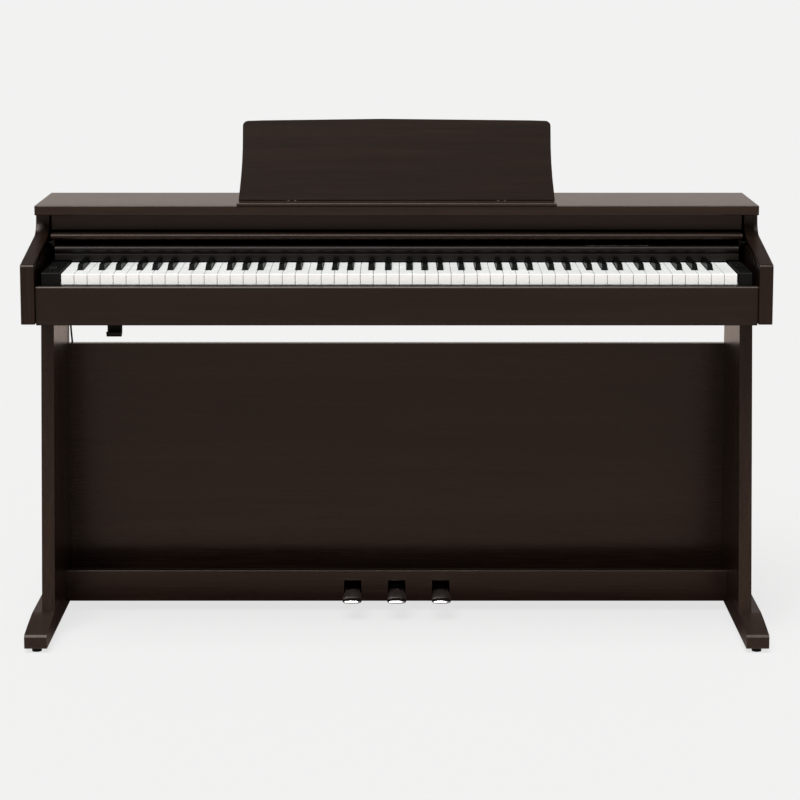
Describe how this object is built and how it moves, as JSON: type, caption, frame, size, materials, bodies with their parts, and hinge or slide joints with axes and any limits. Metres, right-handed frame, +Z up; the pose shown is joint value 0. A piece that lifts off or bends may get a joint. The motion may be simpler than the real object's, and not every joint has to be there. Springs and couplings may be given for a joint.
{
  "type": "digital piano on stand",
  "caption": "Upright home digital piano: wood laminate cabinet with a full keyboard, curved sliding key cover, folding music rest, and a panel stand with feet, back board and pedal rail.",
  "frame": {"origin": "on the floor, at the middle of the object's box", "axes": "+X to the player's right along the keyboard, +Y from the player to the back board, +Z up"},
  "size_m": [1.368, 0.405, 0.9607],
  "materials": {
    "wood": "satin dark rosewood laminate",
    "wood_inside": "matt dark laminate",
    "black_plastic": "fine textured",
    "felt": "felt",
    "grille": "matt perforated",
    "steel": "zinc plated",
    "circuit_board": "solder resist",
    "cable_sheath": "matt",
    "chrome": "polished",
    "white_key": "gloss",
    "black_key": "matt"
  },
  "bodies": {
    "cabinet": {"side_panel_left": "wood", "side_panel_right": "wood", "top_board": "wood", "name_board": "wood", "key_slip": "wood", "leg_left": "wood", "leg_right": "wood", "foot_left": "wood", "foot_right": "wood", "back_board": "wood", "pedal_rail": "wood", "rest_ledge": "wood", "key_bed": "wood_inside", "cabinet_back": "wood_inside", "inner_panel": "black_plastic", "end_block_left": "black_plastic", "end_block_right": "black_plastic", "headphone_hook": "black_plastic", "headphone_box": "black_plastic", "jack_panel": "black_plastic", "speakers": "black_plastic", "foot_pads": "black_plastic", "cable_clips": "black_plastic", "felt_strips": "felt", "speaker_grilles": "grille", "key_frame": "steel", "pivot_rods": "steel", "stand_fasteners": "steel", "pedal_box": "steel", "circuit_boards": "circuit_board", "pedal_cable": "cable_sheath"},
    "key_cover": {"key_cover": "wood", "cover_rollers": "black_plastic"},
    "music_rest": {"music_rest": "wood", "rest_hinge_pins": "steel"},
    "rest_support_left": {"rest_support_left": "steel"},
    "rest_support_right": {"rest_support_right": "steel"},
    "pedal_left": {"pedal_left": "chrome"},
    "pedal_middle": {"pedal_middle": "chrome"},
    "pedal_right": {"pedal_right": "chrome"},
    "power_button": {"power_button": "black_plastic"},
    "volume_knob": {"volume_knob": "black_plastic"},
    "function_button_1": {"function_button_1": "black_plastic"},
    "function_button_2": {"function_button_2": "black_plastic"},
    "keys_bass": {"white_keys_bass": "white_key", "black_keys_bass": "black_key"},
    "keys_treble": {"white_keys_treble": "white_key", "black_keys_treble": "black_key"},
    "key_c4": {"key_c4": "white_key"},
    "key_c4_sharp": {"key_c4_sharp": "black_key"},
    "key_d4": {"key_d4": "white_key"},
    "key_d4_sharp": {"key_d4_sharp": "black_key"},
    "key_e4": {"key_e4": "white_key"},
    "key_f4": {"key_f4": "white_key"},
    "key_f4_sharp": {"key_f4_sharp": "black_key"},
    "key_g4": {"key_g4": "white_key"},
    "key_g4_sharp": {"key_g4_sharp": "black_key"},
    "key_a4": {"key_a4": "white_key"},
    "key_a4_sharp": {"key_a4_sharp": "black_key"},
    "key_b4": {"key_b4": "white_key"}
  },
  "joints": [
    {"name": "cover_slide", "type": "hinge", "parent": "cabinet", "child": "key_cover", "pos_m": [0, -0.016, 0.243], "axis": [1, 0, 0], "range_deg": [0, 18.5]},
    {"name": "fold_rest", "type": "hinge", "parent": "cabinet", "child": "music_rest", "pos_m": [0, 0.044, 0.8157], "axis": [-1, 0, 0], "range_deg": [0, 72]},
    {"name": "fold_support_left", "type": "hinge", "parent": "music_rest", "child": "rest_support_left", "pos_m": [-0.15, 0.06967, 0.87045], "axis": [-1, 0, 0], "range_deg": [-130.8, 0]},
    {"name": "fold_support_right", "type": "hinge", "parent": "music_rest", "child": "rest_support_right", "pos_m": [0.15, 0.06967, 0.87045], "axis": [-1, 0, 0], "range_deg": [-130.8, 0]},
    {"name": "pedal_left", "type": "hinge", "parent": "cabinet", "child": "pedal_left", "pos_m": [-0.0855, 0.13, 0.052], "axis": [1, 0, 0], "range_deg": [0, 5.5], "stiffness_Nm_per_rad": 12, "springref_deg": -5.73},
    {"name": "pedal_middle", "type": "hinge", "parent": "cabinet", "child": "pedal_middle", "pos_m": [0, 0.13, 0.052], "axis": [1, 0, 0], "range_deg": [0, 5.5], "stiffness_Nm_per_rad": 12, "springref_deg": -5.73},
    {"name": "pedal_right", "type": "hinge", "parent": "cabinet", "child": "pedal_right", "pos_m": [0.0855, 0.13, 0.052], "axis": [1, 0, 0], "range_deg": [0, 5.5], "stiffness_Nm_per_rad": 12, "springref_deg": -5.73},
    {"name": "push_button_1", "type": "slide", "parent": "cabinet", "child": "function_button_1", "axis": [0, 0, -1], "range_m": [0, 0.0015], "stiffness_N_per_m": 300, "springref_m": -0.001},
    {"name": "push_button_2", "type": "slide", "parent": "cabinet", "child": "function_button_2", "axis": [0, 0, -1], "range_m": [0, 0.0015], "stiffness_N_per_m": 300, "springref_m": -0.001},
    {"name": "push_power", "type": "slide", "parent": "cabinet", "child": "power_button", "axis": [0, 0, -1], "range_m": [0, 0.002], "stiffness_N_per_m": 300, "springref_m": -0.001},
    {"name": "slide_volume", "type": "slide", "parent": "cabinet", "child": "volume_knob", "axis": [0, 1, 0], "range_m": [-0.016, 0.016]},
    {"name": "touch_bass_keys", "type": "hinge", "parent": "cabinet", "child": "keys_bass", "pos_m": [0, 0.04, 0.69], "axis": [1, 0, 0], "range_deg": [0, 2.6], "stiffness_Nm_per_rad": 40, "springref_deg": -11.46},
    {"name": "touch_key_c4", "type": "hinge", "parent": "cabinet", "child": "key_c4", "pos_m": [0, 0.04, 0.69], "axis": [1, 0, 0], "range_deg": [0, 2.6], "stiffness_Nm_per_rad": 1.2, "springref_deg": -11.46},
    {"name": "touch_key_c4_sharp", "type": "hinge", "parent": "cabinet", "child": "key_c4_sharp", "pos_m": [0, 0.04, 0.69], "axis": [1, 0, 0], "range_deg": [0, 2.6], "stiffness_Nm_per_rad": 1.2, "springref_deg": -11.46},
    {"name": "touch_key_d4", "type": "hinge", "parent": "cabinet", "child": "key_d4", "pos_m": [0, 0.04, 0.69], "axis": [1, 0, 0], "range_deg": [0, 2.6], "stiffness_Nm_per_rad": 1.2, "springref_deg": -11.46},
    {"name": "touch_key_d4_sharp", "type": "hinge", "parent": "cabinet", "child": "key_d4_sharp", "pos_m": [0, 0.04, 0.69], "axis": [1, 0, 0], "range_deg": [0, 2.6], "stiffness_Nm_per_rad": 1.2, "springref_deg": -11.46},
    {"name": "touch_key_e4", "type": "hinge", "parent": "cabinet", "child": "key_e4", "pos_m": [0, 0.04, 0.69], "axis": [1, 0, 0], "range_deg": [0, 2.6], "stiffness_Nm_per_rad": 1.2, "springref_deg": -11.46},
    {"name": "touch_key_f4", "type": "hinge", "parent": "cabinet", "child": "key_f4", "pos_m": [0, 0.04, 0.69], "axis": [1, 0, 0], "range_deg": [0, 2.6], "stiffness_Nm_per_rad": 1.2, "springref_deg": -11.46},
    {"name": "touch_key_f4_sharp", "type": "hinge", "parent": "cabinet", "child": "key_f4_sharp", "pos_m": [0, 0.04, 0.69], "axis": [1, 0, 0], "range_deg": [0, 2.6], "stiffness_Nm_per_rad": 1.2, "springref_deg": -11.46},
    {"name": "touch_key_g4", "type": "hinge", "parent": "cabinet", "child": "key_g4", "pos_m": [0, 0.04, 0.69], "axis": [1, 0, 0], "range_deg": [0, 2.6], "stiffness_Nm_per_rad": 1.2, "springref_deg": -11.46},
    {"name": "touch_key_g4_sharp", "type": "hinge", "parent": "cabinet", "child": "key_g4_sharp", "pos_m": [0, 0.04, 0.69], "axis": [1, 0, 0], "range_deg": [0, 2.6], "stiffness_Nm_per_rad": 1.2, "springref_deg": -11.46},
    {"name": "touch_key_a4", "type": "hinge", "parent": "cabinet", "child": "key_a4", "pos_m": [0, 0.04, 0.69], "axis": [1, 0, 0], "range_deg": [0, 2.6], "stiffness_Nm_per_rad": 1.2, "springref_deg": -11.46},
    {"name": "touch_key_a4_sharp", "type": "hinge", "parent": "cabinet", "child": "key_a4_sharp", "pos_m": [0, 0.04, 0.69], "axis": [1, 0, 0], "range_deg": [0, 2.6], "stiffness_Nm_per_rad": 1.2, "springref_deg": -11.46},
    {"name": "touch_key_b4", "type": "hinge", "parent": "cabinet", "child": "key_b4", "pos_m": [0, 0.04, 0.69], "axis": [1, 0, 0], "range_deg": [0, 2.6], "stiffness_Nm_per_rad": 1.2, "springref_deg": -11.46},
    {"name": "touch_treble_keys", "type": "hinge", "parent": "cabinet", "child": "keys_treble", "pos_m": [0, 0.04, 0.69], "axis": [1, 0, 0], "range_deg": [0, 2.6], "stiffness_Nm_per_rad": 40, "springref_deg": -11.46}
  ],
  "couplings": [
    {"joint": "fold_support_left", "follows": "fold_rest", "ratio": -1.8147},
    {"joint": "fold_support_right", "follows": "fold_rest", "ratio": -1.8147}
  ]
}
